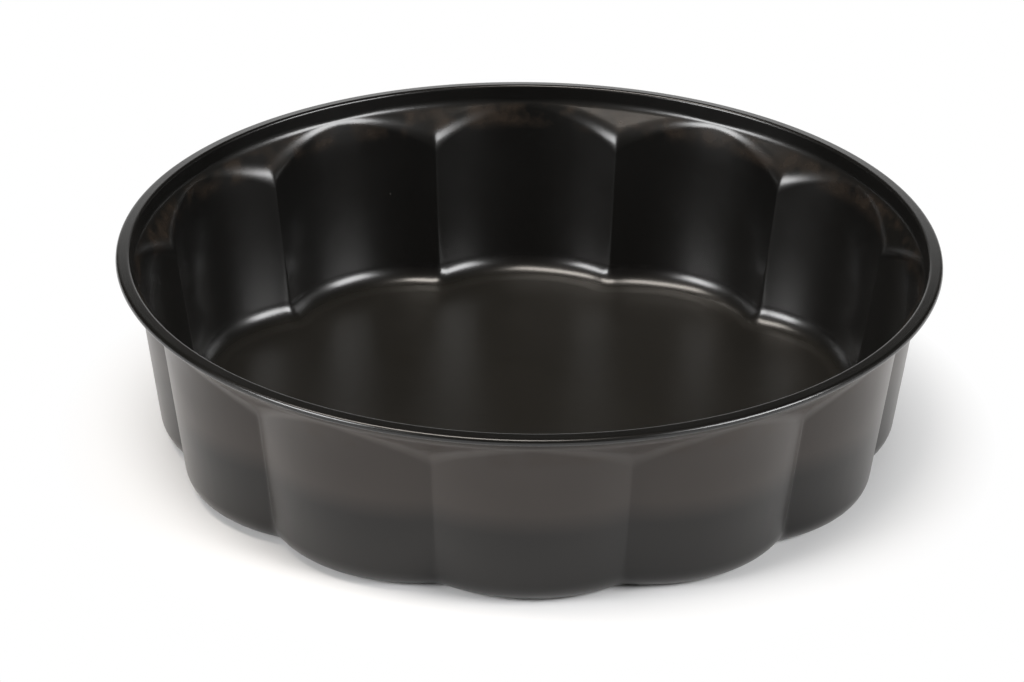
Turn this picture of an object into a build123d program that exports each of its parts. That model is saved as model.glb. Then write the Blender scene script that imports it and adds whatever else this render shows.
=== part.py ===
from build123d import *
import os
from math import acos, atan2, ceil, cos, degrees, radians, sin, tan

# Brioche mould: one drawn steel pan with scalloped sides, its rim curled over a wire ring.
# Millimetres, +Z up, origin in the middle of the flat underside, one lobe facing -Y.
# Radii are those of the sheet's outer face, which is its underside at the rim. Angles
# are in degrees.

# Overall
rim_diameter = 260.0
mould_height = 64.5
sheet = 0.5

# Scalloped wall, from the flat floor up to the shoulder
lobe_count = 12
lobe_depth = 6.0
wall_draft = 8.3
floor_radius = 8.7
arch_radius = 4.0

# Round shoulder and collar, between the wall and the rim
crown_step = 0.6
shoulder_angle = 52.0
collar_height = 5.0
collar_draft = 7.0
collar_foot_radius = 1.8

# Rim, bent outward and curled over the wire. Its rounds are so small that flats which
# turn by this angle stay within 0.07 mm of them.
rim_width = 5.1
rim_bend_radius = 0.4
curl_step = 0.3
curl_wrap = 235.0
wire_diameter = 1.3
wire_clearance = 0.1
wire_gap = 0.8
flat_angle = 36.0

# Levels and radii of the pan that follow
collar_foot = mould_height - collar_height
collar_radius = rim_diameter / 2 - rim_width
crown_foot = collar_radius - crown_step - collar_foot * tan(radians(wall_draft))
crease_foot = crown_foot - lobe_depth

# Slopes: how far each face moves outward for each step upward
wall_lean = tan(radians(wall_draft))
collar_lean = tan(radians(collar_draft))
shoulder_lean = 1 / tan(radians(shoulder_angle))

# Each lobe is a drafted round about an upright line of its own. Its arc at the floor
# passes through the crown and both creases, which sets where that line stands.
pitch = 360 / lobe_count
lobe_center = (crown_foot**2 - crease_foot**2) / (
    2 * (crown_foot - crease_foot * cos(radians(pitch / 2)))
)
lobe_radius = crown_foot - lobe_center

# The upright plane through a crease, where the seams of the round faces lie
crease_plane = Plane.XZ.rotated((0, 0, pitch / 2))


def polar(radius, angle, center=Vector(0, 0)):
    """The point at a radius and an angle from a centre."""
    return center + Vector(radius, 0).rotate(Axis.Z, angle)


def collar_at(level, inset):
    """Radius of the collar at a level."""
    on_line = collar_radius + (level - collar_foot) * collar_lean
    return on_line - inset / cos(radians(collar_draft))


# Centres of the rim's bend and of its curl, in a plane of radius and height
curl_radius = wire_diameter / 2 + wire_clearance
curl_center = Vector(
    rim_diameter / 2 - curl_radius - sheet,
    mould_height - curl_radius - sheet,
)
bend_height = mould_height - curl_step - sheet - rim_bend_radius
bend_center = Vector(
    collar_at(bend_height, 0) + rim_bend_radius / cos(radians(collar_draft)),
    bend_height,
)

# The flange is the tangent to bend and curl, which it touches at this angle
bend_to_curl = curl_center - bend_center
flange_angle = degrees(
    atan2(bend_to_curl.Y, bend_to_curl.X)
    + acos((rim_bend_radius - curl_radius) / bend_to_curl.length)
)


def drawn_form(inset):
    """The pan as a filled body, its faces set in from the sheet's outer face."""
    foot_radius = lobe_radius + inset * wall_lean - inset / cos(radians(wall_draft))
    wall_height = collar_foot - inset

    # Where the shoulder's line meets the collar's, and where it ends inside the wall
    shoulder_inset = inset / sin(radians(shoulder_angle))
    collar_inset = inset / cos(radians(collar_draft))
    bend_level = collar_foot + (shoulder_inset - collar_inset) / (shoulder_lean - collar_lean)
    bend_radius = collar_at(bend_level, inset)
    root_radius = crease_foot - inset
    root_level = bend_level - (bend_radius - root_radius) / shoulder_lean
    on_floor = (Align.CENTER, Align.CENTER, Align.MIN)

    with BuildPart(Plane.XY.offset(inset)) as form:
        Cylinder(lobe_center, wall_height, align=on_floor)
        with PolarLocations(lobe_center, lobe_count, start_angle=-90):
            Cone(
                foot_radius,
                foot_radius + wall_height * wall_lean,
                wall_height,
                rotation=(0, 0, 180),
                align=on_floor,
            )

        with BuildSketch(crease_plane) as shoulder:
            with BuildLine():
                Polyline(
                    (0, root_level),
                    (root_radius, root_level),
                    (bend_radius, bend_level),
                    (collar_at(bend_height, inset), bend_height),
                    (0, bend_height),
                    close=True,
                )
            make_face()
            corner = shoulder.vertices().sort_by_distance((bend_radius, bend_level))[0]
            fillet(corner, radius=collar_foot_radius - inset)
        revolve(axis=Axis.Z)

        arches = form.edges().filter_by(GeomType.BSPLINE)
        fillet(arches, radius=arch_radius + inset)
        floor_edge = form.faces().sort_by(Axis.Z)[0].edges()
        fillet(floor_edge, radius=floor_radius - inset)
    return form.part


def flats(center, radius, start, turn):
    """Flat sides that follow an arc from an angle on, through a turn."""
    count = ceil(abs(turn) / flat_angle)
    angles = [start + turn * side / count for side in range(count + 1)]
    return Polyline(*[polar(radius, angle, center) for angle in angles])


def rim_face(inset):
    """One face of the rim in section: collar edge, bend, flange and curl.

    Draws into the open BuildLine and returns the face's two end points.
    """
    collar_side = 180 - collar_draft
    bend = flats(bend_center, rim_bend_radius + inset, collar_side, flange_angle - collar_side)
    collar_edge = Line((collar_at(bend_height, inset), bend_height), bend @ 0)
    curl = flats(curl_center, curl_radius + inset, flange_angle, -curl_wrap)
    Line(bend @ 1, curl @ 0)
    return collar_edge @ 0, curl @ 1


outer_form = drawn_form(0)
cavity = drawn_form(sheet)

with BuildPart() as pressed_shell:
    add(outer_form)
    add(cavity, mode=Mode.SUBTRACT)
    with BuildSketch(crease_plane):
        with BuildLine():
            under_start, under_end = rim_face(0)
            upper_start, upper_end = rim_face(sheet)
            Line(under_start, upper_start)
            Line(under_end, upper_end)
        make_face()
    revolve(axis=Axis.Z)

with BuildPart() as rim_wire:
    wire_turn = 360 - degrees(wire_gap / curl_center.X)
    with BuildSketch(Plane.XZ):
        with BuildLine():
            flats(curl_center, wire_diameter / 2, 0, 360)
        make_face()
    revolve(axis=Axis.Z, revolution_arc=wire_turn)

pressed_shell.part.label = "pressed_shell"
rim_wire.part.label = "rim_wire"

os.makedirs("parts", exist_ok=True)
export_step(pressed_shell.part, "parts/pressed_shell.step")
export_step(rim_wire.part, "parts/rim_wire.step")
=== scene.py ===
from math import acos, atan, atan2, cos, pi, radians, sin, sqrt, tan

import bmesh
import bpy
from mathutils import Matrix, Vector


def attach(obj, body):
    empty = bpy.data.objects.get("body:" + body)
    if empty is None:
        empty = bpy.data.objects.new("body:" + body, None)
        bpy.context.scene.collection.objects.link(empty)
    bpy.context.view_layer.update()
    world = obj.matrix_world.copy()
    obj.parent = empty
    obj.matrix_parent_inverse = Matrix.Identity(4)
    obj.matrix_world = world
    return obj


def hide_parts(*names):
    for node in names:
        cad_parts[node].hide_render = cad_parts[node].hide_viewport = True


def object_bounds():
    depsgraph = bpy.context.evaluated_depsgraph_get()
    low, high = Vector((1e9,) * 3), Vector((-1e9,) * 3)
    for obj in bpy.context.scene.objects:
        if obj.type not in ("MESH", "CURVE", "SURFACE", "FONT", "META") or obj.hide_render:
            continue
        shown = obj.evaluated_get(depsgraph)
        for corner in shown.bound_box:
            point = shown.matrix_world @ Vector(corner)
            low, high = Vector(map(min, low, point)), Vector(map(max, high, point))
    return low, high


# Brioche mould: one drawn steel pan with scalloped sides and a rim rolled over a wire.
# Metres, +Z up, origin in the middle of the flat underside, one lobe facing -Y.

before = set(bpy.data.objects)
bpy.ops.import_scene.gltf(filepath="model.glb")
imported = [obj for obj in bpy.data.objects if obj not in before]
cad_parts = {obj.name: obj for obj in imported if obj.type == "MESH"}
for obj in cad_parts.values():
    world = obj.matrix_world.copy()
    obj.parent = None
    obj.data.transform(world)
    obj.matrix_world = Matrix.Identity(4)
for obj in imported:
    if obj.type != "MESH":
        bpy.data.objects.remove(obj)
cad_low, cad_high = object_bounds()
MM = 0.001


# Sizes. Radii are those of the sheet's outer face, which is its underside at the rim.
# A draft is the angle by which the sheet leans outward from upright.

rim_radius = cad_high.x
mould_height = cad_high.z
sheet = 0.5 * MM
lobe_count = 12
lobe_depth = 6.0 * MM
wall_draft = radians(8.3)
floor_round = 8.7 * MM
crown_step = 1.2 * MM
shoulder_draft = radians(42)
collar_height = 5.7 * MM
collar_draft = radians(7)
rim_width = 4.6 * MM
bend_round = 0.4 * MM
curl_drop = 0.3 * MM
curl_wrap = radians(235)
wire_radius = 0.65 * MM
wire_clearance = 0.1 * MM
wire_gap = 0.8 * MM

# The creases between lobes are slightly rounded, most of all at the floor. The arches
# and the collar's foot are soft. These are the radii on the inner face.
crease_round_at_floor = 9.0 * MM
crease_round = 1.6 * MM
crease_round_at_top = 3.5 * MM
crease_narrow_level = 20.0 * MM
crown_arch_round = 7.0 * MM
crease_arch_round = 16.0 * MM
collar_round = 4.5 * MM

# The wall flares a little more from this level up, along a round of this radius
flare_level = 50.0 * MM
flare_round = 48.0 * MM

# Columns of faces in a lobe and all round, and how much they crowd towards creases
columns_in_lobe = 36
columns_round = columns_in_lobe * lobe_count
crowding = 0.95

# Rows of faces in each stretch of the section
floor_rows = 5
floor_round_rows = 12
wall_rows = 8
arch_rows = 8
shoulder_rows = 3
collar_round_rows = 5
collar_rows = 2
bend_rows = 6
flange_rows = 1
curl_rows = 18
wire_sides = 16

# A straight stretch has a narrow row at each end, at most this share of its length
narrow_row = 0.25 * MM
narrow_share = 0.1

# How much of its room each round fills, so that a straight row stays between two
round_fill = 0.95

# The wall's lean is measured over this height, and each arch's level found by halving
lean_step = 1 * MM
halvings = 40

merge_distance = 0.001 * MM


# Where the parts of the section meet

full_turn = 2 * pi
flat_draft = pi / 2
half_pitch = pi / lobe_count
collar_foot = mould_height - collar_height
collar_radius = rim_radius - rim_width
crown_foot = collar_radius - crown_step - collar_foot * tan(wall_draft)
crease_foot = crown_foot - lobe_depth

# Each lobe is a drafted round about an upright line of its own
lobe_center = (crown_foot**2 - crease_foot**2) / (
    2 * (crown_foot - crease_foot * cos(half_pitch))
)
lobe_radius = crown_foot - lobe_center - sheet / cos(wall_draft)

# The corner of shoulder and collar, on the inner face
collar_inset = sheet / cos(collar_draft)
shoulder_inset = sheet / cos(shoulder_draft)
corner_rise = (shoulder_inset - collar_inset) / (
    tan(shoulder_draft) - tan(collar_draft)
)
shoulder_top = Vector(
    (
        collar_radius + corner_rise * tan(collar_draft) - collar_inset,
        collar_foot + corner_rise,
    )
)

# The centres of the rim's bend and of its curl
curl_inside = wire_radius + wire_clearance
curl_level = mould_height - curl_drop - curl_inside - sheet
curl_center = Vector((rim_radius - curl_inside - sheet, curl_level))
bend_level = mould_height - sheet - bend_round
bend_axis = (
    collar_radius
    + (bend_level - collar_foot) * tan(collar_draft)
    + bend_round / cos(collar_draft)
)
bend_center = Vector((bend_axis, bend_level))

# The flange is the tangent to both
bend_to_curl = curl_center - bend_center
flange_draft = (
    pi
    - atan2(bend_to_curl.y, bend_to_curl.x)
    - acos((bend_round - curl_inside) / bend_to_curl.length)
)


# The section of the pan's inner face. Points are (radius, level). A phase is the angle
# from the middle of a lobe.


def outward(draft):
    """The direction out of the sheet's outer face where it leans by a draft."""
    return Vector((cos(draft), -sin(draft)))


def upward(draft):
    """The direction up along the sheet where it leans by a draft."""
    return Vector((sin(draft), cos(draft)))


def held_shares(length, count):
    """Shares of a straight stretch, with a narrow row at each end to keep it flat."""
    narrow = min(narrow_row / length, narrow_share)
    wide = 1 - 2 * narrow
    return [narrow + wide * step / count for step in range(count + 1)] + [1.0]


def straight(start, end, count):
    """A straight stretch, without its start."""
    shares = held_shares((end - start).length, count)
    return [start.lerp(end, share) for share in shares]


def hollow_round(center, radius, start, end, count):
    """A round between two drafts, without its start. Its centre lies in the pan."""
    turns = [start + (end - start) * (step / count) for step in range(1, count + 1)]
    return [center + outward(turn) * radius for turn in turns]


def proud_round(center, radius, start, end, count):
    """A round between two drafts, without its start. Its centre lies outside."""
    return hollow_round(center, -radius, start, end, count)


def round_reach(radius, turn):
    """How far a round reaches from its corner along each side."""
    return radius * tan(turn / 2)


def lobed_radius(phase, radius, crease):
    """Radius of the lobed outline at a phase.

    The lobe is an arc of one radius about its own line, and a small arc that touches
    it rounds the crease.
    """
    along = lobe_center * cos(half_pitch)
    across = lobe_center * sin(half_pitch)
    crease_line = along + sqrt((radius + crease) ** 2 - across**2)
    lobe_turn = atan2(
        crease_line * sin(half_pitch), crease_line * cos(half_pitch) - lobe_center
    )
    touch = atan2(radius * sin(lobe_turn), lobe_center + radius * cos(lobe_turn))
    if phase <= touch:
        aside = lobe_center * sin(phase)
        return lobe_center * cos(phase) + sqrt(radius**2 - aside**2)
    beside = half_pitch - phase
    aside = crease_line * sin(beside)
    return crease_line * cos(beside) - sqrt(crease**2 - aside**2)


def crease_at(level):
    """Radius of the crease at a level, narrowest a little above the floor's round."""
    if level < crease_narrow_level:
        away = 1 - level / crease_narrow_level
        return crease_round + (crease_round_at_floor - crease_round) * away**2
    away = (level - crease_narrow_level) / (collar_foot - crease_narrow_level)
    return crease_round + (crease_round_at_top - crease_round) * away**2


def wall_point(phase, level):
    """The wall at a phase and a level."""
    flare = max(level - flare_level, 0) ** 2 / (2 * flare_round)
    radius = lobe_radius + level * tan(wall_draft) + flare
    return Vector((lobed_radius(phase, radius, crease_at(level)), level))


def shoulder_radius(level):
    """Radius of the shoulder's straight line at a level."""
    return shoulder_top.x - (shoulder_top.y - level) * tan(shoulder_draft)


def arch_level(phase):
    """The level at which the wall runs into the shoulder."""
    low = mould_height / 2
    high = shoulder_top.y
    for _ in range(halvings):
        middle = (low + high) / 2
        if wall_point(phase, middle).x > shoulder_radius(middle):
            low = middle
        else:
            high = middle
    return low


def floor_and_round(phase):
    """The floor from its middle out, and the round up to the wall."""
    round_radius = floor_round - sheet
    center_level = sheet + round_radius
    inset = center_level * tan(wall_draft) - round_radius / cos(wall_draft)
    center = Vector((lobe_radius + inset, center_level))
    floor_edge = lobed_radius(phase, center.x, crease_at(sheet))
    points = [Vector((0, sheet))]
    points += straight(points[0], Vector((floor_edge, sheet)), floor_rows)
    profile = hollow_round(
        center, round_radius, flat_draft, wall_draft, floor_round_rows
    )
    for radius, level in profile:
        points.append(Vector((lobed_radius(phase, radius, crease_at(level)), level)))
    return points


def wall_to_collar(phase, wall_start):
    """The wall, the round of its arch, the shoulder and the round at the collar's foot.

    Where the shoulder is too short for both rounds, it stands steeper instead, so that
    they meet in one sweep.
    """
    from_crown = phase / half_pitch
    arch = crown_arch_round + (crease_arch_round - crown_arch_round) * from_crown
    collar = collar_round
    level = arch_level(phase)
    corner = wall_point(phase, level)
    lean = atan((corner.x - wall_point(phase, level - lean_step).x) / lean_step)
    top = shoulder_top
    draft = shoulder_draft
    arch_reach = round_reach(arch, draft - lean)
    both_reach = arch_reach + round_reach(collar, draft - collar_draft)
    if both_reach > (top - corner).length:
        meeting = corner.lerp(top, arch_reach / both_reach)
        draft = lean + acos(1 - (meeting - corner).dot(outward(lean)) / arch)
        collar_room = (top - meeting).dot(outward(collar_draft))
        collar = collar_room / (1 - cos(draft - collar_draft))
        corner = meeting - upward(draft) * round_reach(arch, draft - lean)
        top = meeting + upward(draft) * round_reach(collar, draft - collar_draft)

    arch *= round_fill
    arch_start = corner - upward(lean) * round_reach(arch, draft - lean)
    arch_center = arch_start + outward(lean) * arch
    rise = arch_start.y - wall_start
    levels = [wall_start + rise * share for share in held_shares(rise, wall_rows)]
    points = [wall_point(phase, level) for level in levels]
    points += proud_round(arch_center, arch, lean, draft, arch_rows)

    collar *= round_fill
    shoulder_end = top - upward(draft) * round_reach(collar, draft - collar_draft)
    collar_center = shoulder_end - outward(draft) * collar
    points += straight(points[-1], shoulder_end, shoulder_rows)
    points += hollow_round(
        collar_center, collar, draft, collar_draft, collar_round_rows
    )
    return points


def collar_and_rim(start):
    """The collar above its round, the bend, the flange and the curl."""
    bend_radius = bend_round + sheet
    bend_start = bend_center - outward(collar_draft) * bend_radius
    curl_radius = curl_inside + sheet
    curl_start = curl_center - outward(flange_draft) * curl_radius
    curl_end = flange_draft + curl_wrap
    points = straight(start, bend_start, collar_rows)
    points += proud_round(
        bend_center, bend_radius, collar_draft, flange_draft, bend_rows
    )
    points += straight(points[-1], curl_start, flange_rows)
    points += proud_round(curl_center, curl_radius, flange_draft, curl_end, curl_rows)
    return points


def section(phase):
    """The whole inner face in the upright plane at a phase."""
    points = floor_and_round(phase)
    points += wall_to_collar(phase, points[-1].y)
    return points + collar_and_rim(points[-1])


# Meshes


def finished_piece(name, shape, materials, node):
    """Makes a mesh object of a bmesh that stands for a CAD node."""
    mesh = bpy.data.meshes.new(name)
    shape.to_mesh(mesh)
    shape.free()
    mesh.shade_smooth()
    for material in materials:
        mesh.materials.append(material)
    piece = bpy.data.objects.new(name, mesh)
    bpy.context.collection.objects.link(piece)
    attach(piece, "root")
    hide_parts(node)
    return piece


def spun(points, start_angle, turn=full_turn):
    """Turns a chain of (radius, level) points about the upright axis.

    Every vertex keeps the number of its point, in the layer that is returned too.
    """
    shape = bmesh.new()
    row = shape.verts.layers.int.new("row")
    spoke = Vector((cos(start_angle), sin(start_angle)))
    chain = []
    for index, (radius, level) in enumerate(points):
        vert = shape.verts.new((*(spoke * radius), level))
        vert[row] = index
        chain.append(vert)
    edges = [shape.edges.new(pair) for pair in zip(chain, chain[1:])]
    bmesh.ops.spin(
        shape,
        geom=chain + edges,
        cent=(0, 0, 0),
        axis=(0, 0, 1),
        angle=turn,
        steps=columns_round,
        use_merge=turn == full_turn,
    )
    return shape, row


def crowded_phase(column):
    """Phase of a column of faces, which stand closer together near the creases."""
    share = column / columns_in_lobe
    from_crease = 2 * min(share, 1 - share)
    eased = (1 - crowding) * from_crease + crowding * (1 - cos(from_crease * pi / 2))
    side = -1 if share < 0.5 else 1
    return half_pitch * (1 - eased) * side


def press_lobes(shape, row, first_crease):
    """Moves every column of a spun pan onto the section at its own phase."""
    phases = [crowded_phase(column) for column in range(columns_in_lobe)]
    sections = [section(abs(phase)) for phase in phases]
    for vert in shape.verts:
        angle = (atan2(vert.co.y, vert.co.x) - first_crease) % full_turn
        nearest = round(angle / full_turn * columns_round) % columns_round
        lobe, column = divmod(nearest, columns_in_lobe)
        turn = first_crease + half_pitch * (2 * lobe + 1) + phases[column]
        radius, level = sections[column][vert[row]]
        vert.co = (radius * cos(turn), radius * sin(turn), level)


def pressed_pan(inside_coat, outside_coat):
    """The pan: a crown's section spun right round, then pressed into lobes."""
    first_crease = -pi / 2 - half_pitch
    shape, row = spun(section(0), first_crease)
    press_lobes(shape, row, first_crease)
    bmesh.ops.remove_doubles(shape, verts=shape.verts, dist=merge_distance)
    bmesh.ops.recalc_face_normals(shape, faces=shape.faces)
    middle = min(shape.faces, key=lambda face: face.calc_center_median().length)
    if middle.normal.z < 0:
        bmesh.ops.reverse_faces(shape, faces=shape.faces)
    coats = (inside_coat, outside_coat)
    pan = finished_piece(
        "scalloped_pan", shape, coats, "pressed_shell"
    )
    wall = pan.modifiers.new("sheet", "SOLIDIFY")
    wall.thickness = sheet
    wall.offset = -1
    wall.use_even_offset = True
    wall.material_offset = 1


def wire_ring(steel):
    """The round wire inside the curl, with its two ends almost touching at the back."""
    turns = [full_turn * (side / wire_sides) for side in range(wire_sides)]
    circle = [
        curl_center + Vector((cos(turn), sin(turn))) * wire_radius for turn in turns
    ]
    gap_turn = wire_gap / curl_center.x
    start_angle = pi / 2 + gap_turn / 2
    shape, _ = spun(circle + circle[:1], start_angle, full_turn - gap_turn)
    bmesh.ops.remove_doubles(shape, verts=shape.verts, dist=merge_distance)
    open_ends = [edge for edge in shape.edges if edge.is_boundary]
    bmesh.ops.holes_fill(shape, edges=open_ends)
    bmesh.ops.recalc_face_normals(shape, faces=shape.faces)
    finished_piece("edge_wire", shape, (steel,), "rim_wire")


# Materials. A pattern is given by its waves for each metre and the finer layers in it,
# and a third number says how strong those layers are. Most of it lies in cloud_range.

cloud_range = (0.3, 0.7)

# The coat's fine grain, as a share of its bumps, and its clouds of gloss and of tone
grain_pattern = (1100, 3)
grain_share = 0.6
gloss_pattern = (45, 4, 0.6)
gloss_change = (-0.03, 0.03)
tone_pattern = (14, 2)
tone_shade = (0.72, 0.72, 0.72, 1)

# Small pale specks, one in the middle of each cell where this pattern is high enough
speck_cells = 130
speck_edge = (0.012, 0.03)
speck_pattern = (95, 0)
speck_range = (0.70, 0.72)
speck_colour = (0.20, 0.19, 0.18, 1)

# A painted reflection: warm brown mottling on the shoulder, which starts above the wall
# and ends below the collar
reflection_mottle_pattern = (120, 3)
reflection_mottle_range = (0.42, 0.66)
painted_reflection_colour = (0.019, 0.014, 0.0105, 1)
painted_reflection_start = (50 * MM, 53 * MM)
painted_reflection_end = (57.5 * MM, 59.0 * MM)

# The levels between which the coat's gloss goes from that of the floor to the wall's
gloss_levels = (0.6 * MM, 1.6 * MM)

# The dull dark layer under the gloss, and how much gloss lies on it
under_roughness = 0.45
under_index = 1.18
coat_weight = 0.9

# The wire's fine lines and its duller patches
line_pattern = (900, 2)
line_roughness = (0.25, 0.45)
patch_pattern = (60, 3)
patch_range = (0.4, 0.65)
bright_steel = (0.52, 0.51, 0.49, 1)
dull_steel = (0.36, 0.35, 0.33, 1)


def feed(tree, socket, value):
    """Links an output to a socket, or sets the socket where given a plain value."""
    if isinstance(value, bpy.types.NodeSocket):
        tree.links.new(value, socket)
    else:
        socket.default_value = value


def fill(tree, node, **values):
    """Sets a node's properties and feeds its inputs, each by its name."""
    for name, value in values.items():
        if name in node.bl_rna.properties:
            setattr(node, name, value)
        else:
            feed(tree, node.inputs[name.replace("_", " ")], value)


def place(tree, kind, **values):
    """Adds a node and fills it in."""
    node = tree.nodes.new(kind)
    fill(tree, node, **values)
    return node


def mapped(tree, source, given, wanted=(0, 1)):
    """Maps a value from one range onto another, without going past its ends."""
    node = place(
        tree,
        "ShaderNodeMapRange",
        Value=source,
        From_Min=given[0],
        From_Max=given[1],
        To_Min=wanted[0],
        To_Max=wanted[1],
    )
    return node.outputs["Result"]


def math_of(tree, operation, first, second):
    """Joins two values, each an output or a number."""
    node = place(tree, "ShaderNodeMath", operation=operation)
    feed(tree, node.inputs[0], first)
    feed(tree, node.inputs[1], second)
    return node.outputs[0]


def mixed(tree, mask, first, second, blend_type="MIX"):
    """Mixes two colours by a mask, each an output or a plain colour."""
    node = place(
        tree,
        "ShaderNodeMix",
        data_type="RGBA",
        blend_type=blend_type,
        Factor=mask,
        A=first,
        B=second,
    )
    return node.outputs["Result"]


def mixed_shaders(tree, mask, first, second):
    """Mixes two shaders by a mask."""
    node = place(tree, "ShaderNodeMixShader", Fac=mask)
    feed(tree, node.inputs[1], first)
    feed(tree, node.inputs[2], second)
    return node.outputs["Shader"]


def noise(tree, position, scale, detail, roughness=0.5):
    """A soft cloudy pattern."""
    node = place(
        tree,
        "ShaderNodeTexNoise",
        Vector=position,
        Scale=scale,
        Detail=detail,
        Roughness=roughness,
    )
    return node.outputs["Fac"]


def object_position(tree):
    """Where on the piece a point of its surface lies."""
    return place(tree, "ShaderNodeTexCoord").outputs["Object"]


def new_material(name):
    """A material, its nodes and its shader."""
    material = bpy.data.materials.new(name)
    material.use_nodes = True
    tree = material.node_tree
    return material, tree, tree.nodes["Principled BSDF"]


def sprayed_coat_effect():
    """Surface of a sprayed and baked coat: fine grain, cloudy gloss, small pale specks and
    the mottle of a painted reflection.
    """
    tree = bpy.data.node_groups.new("sprayed_coat", "ShaderNodeTree")
    sockets = tree.interface
    sockets.new_socket("Position", in_out="INPUT", socket_type="NodeSocketVector")
    position = place(tree, "NodeGroupInput").outputs["Position"]

    cells = place(tree, "ShaderNodeTexVoronoi", Vector=position, Scale=speck_cells)
    near_middle = mapped(tree, cells.outputs["Distance"], speck_edge, (1, 0))
    rare = mapped(tree, noise(tree, position, *speck_pattern), speck_range)
    speck = math_of(tree, "MULTIPLY", near_middle, rare)
    grain = noise(tree, position, *grain_pattern)
    grain = math_of(tree, "MULTIPLY", grain, grain_share)
    clouds = noise(tree, position, *gloss_pattern)
    effects = {
        "Roughness Change": mapped(tree, clouds, cloud_range, gloss_change),
        "Tone": mapped(tree, noise(tree, position, *tone_pattern), cloud_range),
        "Speck": speck,
        # Mottle of the painted reflection on the shoulder
        "Painted Reflection": mapped(tree, noise(tree, position, *reflection_mottle_pattern), reflection_mottle_range),
        "Height": math_of(tree, "ADD", grain, speck),
    }

    for label in effects:
        sockets.new_socket(label, in_out="OUTPUT", socket_type="NodeSocketFloat")
    result = place(tree, "NodeGroupOutput")
    for label, effect in effects.items():
        feed(tree, result.inputs[label], effect)
    return tree


def coat_material(
    name, effect, painted_light_tones, painted_light_levels, gloss, sheen, coat_index, grain_depth
):
    """A dark baked coat with small pale specks, and a warm mottled reflection painted on
    the shoulder.

    Its colour goes from the first tone to the second between two levels, which is painted
    light and shade. The roughness of its gloss goes from that of the floor to that of the
    wall.
    its gloss from that of the floor to that of the wall.
    """
    material, tree, shader = new_material(name)
    position = object_position(tree)
    surface = place(tree, "ShaderNodeGroup", node_tree=effect, Position=position)
    level = place(tree, "ShaderNodeSeparateXYZ", Vector=position).outputs["Z"]

    # A painted reflection: warm brown mottling on the shoulder only
    above_wall = mapped(tree, level, painted_reflection_start)
    below_collar = mapped(tree, level, painted_reflection_end, (1, 0))
    at_shoulder = math_of(tree, "MULTIPLY", above_wall, below_collar)
    painted_reflection = math_of(tree, "MULTIPLY", surface.outputs["Painted Reflection"], at_shoulder)
    # Painted light and shade: the colour changes from one tone to the other by height
    colour = mixed(tree, mapped(tree, level, painted_light_levels), *painted_light_tones)
    colour = mixed(tree, surface.outputs["Tone"], colour, tone_shade, "MULTIPLY")
    colour = mixed(tree, surface.outputs["Speck"], colour, speck_colour)
    colour = mixed(tree, painted_reflection, colour, painted_reflection_colour)

    plain = mapped(tree, level, gloss_levels, gloss)
    change = surface.outputs["Roughness Change"]
    bump = place(
        tree,
        "ShaderNodeBump",
        Strength=1.0,
        Distance=grain_depth,
        Height=surface.outputs["Height"],
    )
    fill(
        tree,
        shader,
        Base_Color=colour,
        Roughness=under_roughness,
        IOR=under_index,
        Specular_Tint=sheen,
        Normal=bump.outputs["Normal"],
        Coat_Weight=coat_weight,
        Coat_Roughness=math_of(tree, "ADD", plain, change),
        Coat_IOR=coat_index,
        Coat_Tint=sheen,
        Coat_Normal=bump.outputs["Normal"],
    )
    return material


def wire_material():
    """Bright drawn steel wire, with fine lines and a few duller patches."""
    material, tree, shader = new_material("drawn_steel_wire")
    position = object_position(tree)
    lines = noise(tree, position, *line_pattern)
    dull = mapped(tree, noise(tree, position, *patch_pattern), patch_range)
    fill(
        tree,
        shader,
        Base_Color=mixed(tree, dull, bright_steel, dull_steel),
        Metallic=1.0,
        Roughness=mapped(tree, lines, cloud_range, line_roughness),
    )
    return material


# Studio

camera_distance = 1.87437
camera_elevation = radians(26.59)
camera_turn = radians(-0.66)
camera_roll = radians(0.74)
camera_target = Vector((-5.12, 0, 31.95)) * MM
camera_reach = 100
lens_mm = 207.94

# The floor lies just under the mould. It turns plain white between these distances from
# its middle, where seen and where mirrored.
floor_half_width = 30
floor_gap = 0.02 * MM
floor_colour = (0.9, 0.9, 0.9, 1)
seen_fade = (0.112, 0.150)
mirrored_fade = (0.11, 0.16)

# The white backdrop is a patch of the room's wall behind the mould, with a soft edge
plain_white = (1.0, 1.0, 1.0, 1)
room_colour = (0.040, 0.037, 0.032, 1)
backdrop_elevation = radians(4)
backdrop_inner = radians(13)
backdrop_outer = radians(26)

lamp_distance = 1.5
warm_white = (1.0, 0.93, 0.86)
neutral_white = (0.985, 0.99, 1.0)


def floor_material():
    """White floor that keeps the mould's shadow and turns plain white further out.

    It can be seen through from below, so that the mould's underside can be looked at.
    """
    material, tree, shader = new_material("studio_floor")
    tree.nodes.remove(shader)
    position = object_position(tree)
    distance = place(
        tree, "ShaderNodeVectorMath", operation="LENGTH", Vector=position
    ).outputs["Value"]
    seen_far = mapped(tree, distance, seen_fade)
    mirrored_far = mapped(tree, distance, mirrored_fade)
    path = place(tree, "ShaderNodeLightPath").outputs
    seen = math_of(tree, "MULTIPLY", path["Is Camera Ray"], seen_far)
    mirrored = math_of(
        tree, "MAXIMUM", path["Is Glossy Ray"], path["Is Transmission Ray"]
    )
    mirrored = math_of(tree, "MULTIPLY", mirrored, mirrored_far)
    plain = math_of(tree, "MAXIMUM", seen, mirrored)

    lit = place(tree, "ShaderNodeBsdfDiffuse", Color=floor_colour).outputs["BSDF"]
    white = place(tree, "ShaderNodeEmission", Color=plain_white, Strength=1.0)
    clear = place(tree, "ShaderNodeBsdfTransparent").outputs["BSDF"]
    from_below = place(tree, "ShaderNodeNewGeometry").outputs["Backfacing"]
    from_above = mixed_shaders(tree, plain, lit, white.outputs["Emission"])
    surface = mixed_shaders(tree, from_below, from_above, clear)
    fill(tree, tree.nodes["Material Output"], Surface=surface)
    return material


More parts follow.
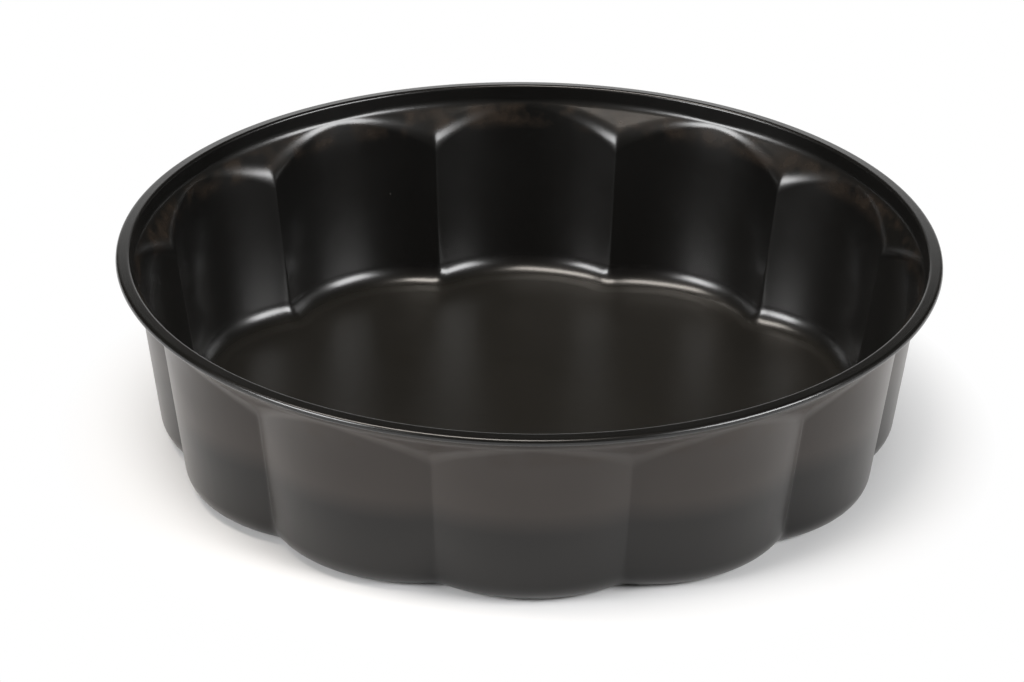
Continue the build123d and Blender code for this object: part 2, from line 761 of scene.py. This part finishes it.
def studio_camera():
    """The camera, at the photo's viewing angle."""
    data = bpy.data.cameras.new("camera")
    data.lens = lens_mm
    data.clip_end = camera_reach
    camera = bpy.data.objects.new("camera", data)
    bpy.context.collection.objects.link(camera)
    back = Vector((0, -cos(camera_elevation), sin(camera_elevation))) * camera_distance
    camera.matrix_world = (
        Matrix.Rotation(camera_turn, 4, "Z")
        @ Matrix.Translation(camera_target + back)
        @ Matrix.Rotation(pi / 2 - camera_elevation, 4, "X")
        @ Matrix.Rotation(camera_roll, 4, "Z")
    )
    bpy.context.scene.camera = camera


def studio_floor():
    """The floor, which isn't part of the mould."""
    shape = bmesh.new()
    below = Matrix.Translation((0, 0, -floor_gap))
    bmesh.ops.create_grid(
        shape, x_segments=1, y_segments=1, size=floor_half_width, matrix=below
    )
    mesh = bpy.data.meshes.new("floor")
    shape.to_mesh(mesh)
    shape.free()
    mesh.materials.append(floor_material())
    floor = bpy.data.objects.new("floor", mesh)
    bpy.context.collection.objects.link(floor)


def studio_world():
    """A dim room with a white backdrop behind the mould, and plain white where seen."""
    world = bpy.data.worlds.new("studio")
    world.use_nodes = True
    bpy.context.scene.world = world
    tree = world.node_tree
    direction = place(tree, "ShaderNodeTexCoord").outputs["Generated"]
    toward = place(
        tree, "ShaderNodeVectorMath", operation="DOT_PRODUCT", Vector=direction
    )
    middle = (0, cos(backdrop_elevation), sin(backdrop_elevation))
    feed(tree, toward.inputs[1], middle)
    soft_edge = (cos(backdrop_outer), cos(backdrop_inner))
    backdrop = mapped(tree, toward.outputs["Value"], soft_edge)
    seen = place(tree, "ShaderNodeLightPath").outputs["Is Camera Ray"]
    white_part = math_of(tree, "MAXIMUM", backdrop, seen)
    shade = mixed(tree, white_part, room_colour, plain_white)
    fill(tree, tree.nodes["Background"], Color=shade, Strength=1.0)


def softbox(name, azimuth, elevation, size, power, colour, turn=0):
    """A soft lamp that faces the mould. Azimuth 0 is in front, at -Y, and 90 at +X."""
    data = bpy.data.lights.new(name, "AREA")
    data.shape = "RECTANGLE"
    data.size, data.size_y = size
    data.energy = power
    data.color = colour
    lamp = bpy.data.objects.new(name, data)
    bpy.context.collection.objects.link(lamp)
    lamp.matrix_world = (
        Matrix.Rotation(radians(azimuth), 4, "Z")
        @ Matrix.Rotation(pi / 2 - radians(elevation), 4, "X")
        @ Matrix.Translation((0, 0, lamp_distance))
        @ Matrix.Rotation(radians(turn), 4, "Z")
    )


# The mould

effect = sprayed_coat_effect()
# Inside, the floor's lighter tone is painted light from above; the walls keep the coat's
# own dark tone
inside_coat = coat_material(
    "inside_non_stick_coat",
    effect,
    painted_light_tones=((0.0105, 0.0097, 0.0078, 1), (0.0030, 0.0030, 0.0029, 1)),
    painted_light_levels=(0.8 * MM, 3.0 * MM),
    gloss=(0.42, 0.235),
    sheen=(1.0, 0.975, 0.935, 1),
    coat_index=1.60,
    grain_depth=0.003 * MM,
)
# Outside, the wall is painted lighter above 26 to 34 mm, a painted reflection of the lit
# floor further out; below that it keeps the coat's own dark tone
outside_coat = coat_material(
    "outside_non_stick_coat",
    effect,
    painted_light_tones=((0.0030, 0.0030, 0.0028, 1), (0.0264, 0.0221, 0.0194, 1)),
    painted_light_levels=(26 * MM, 34 * MM),
    gloss=(0.31, 0.31),
    sheen=(1.0, 0.95, 0.91, 1),
    coat_index=1.43,
    grain_depth=0.004 * MM,
)
pressed_pan(inside_coat, outside_coat)
wire_ring(wire_material())

# The studio around it
studio_camera()
studio_floor()
studio_world()
softbox("overhead", -58, 73, size=(1.20, 0.36), power=16.5, colour=warm_white, turn=34)
softbox("left_front", -60, 24, size=(0.72, 0.52), power=17.5, colour=neutral_white)
softbox("right_front", 63, 28, size=(0.86, 0.52), power=20, colour=neutral_white)
bpy.context.scene.view_settings.view_transform = "Standard"
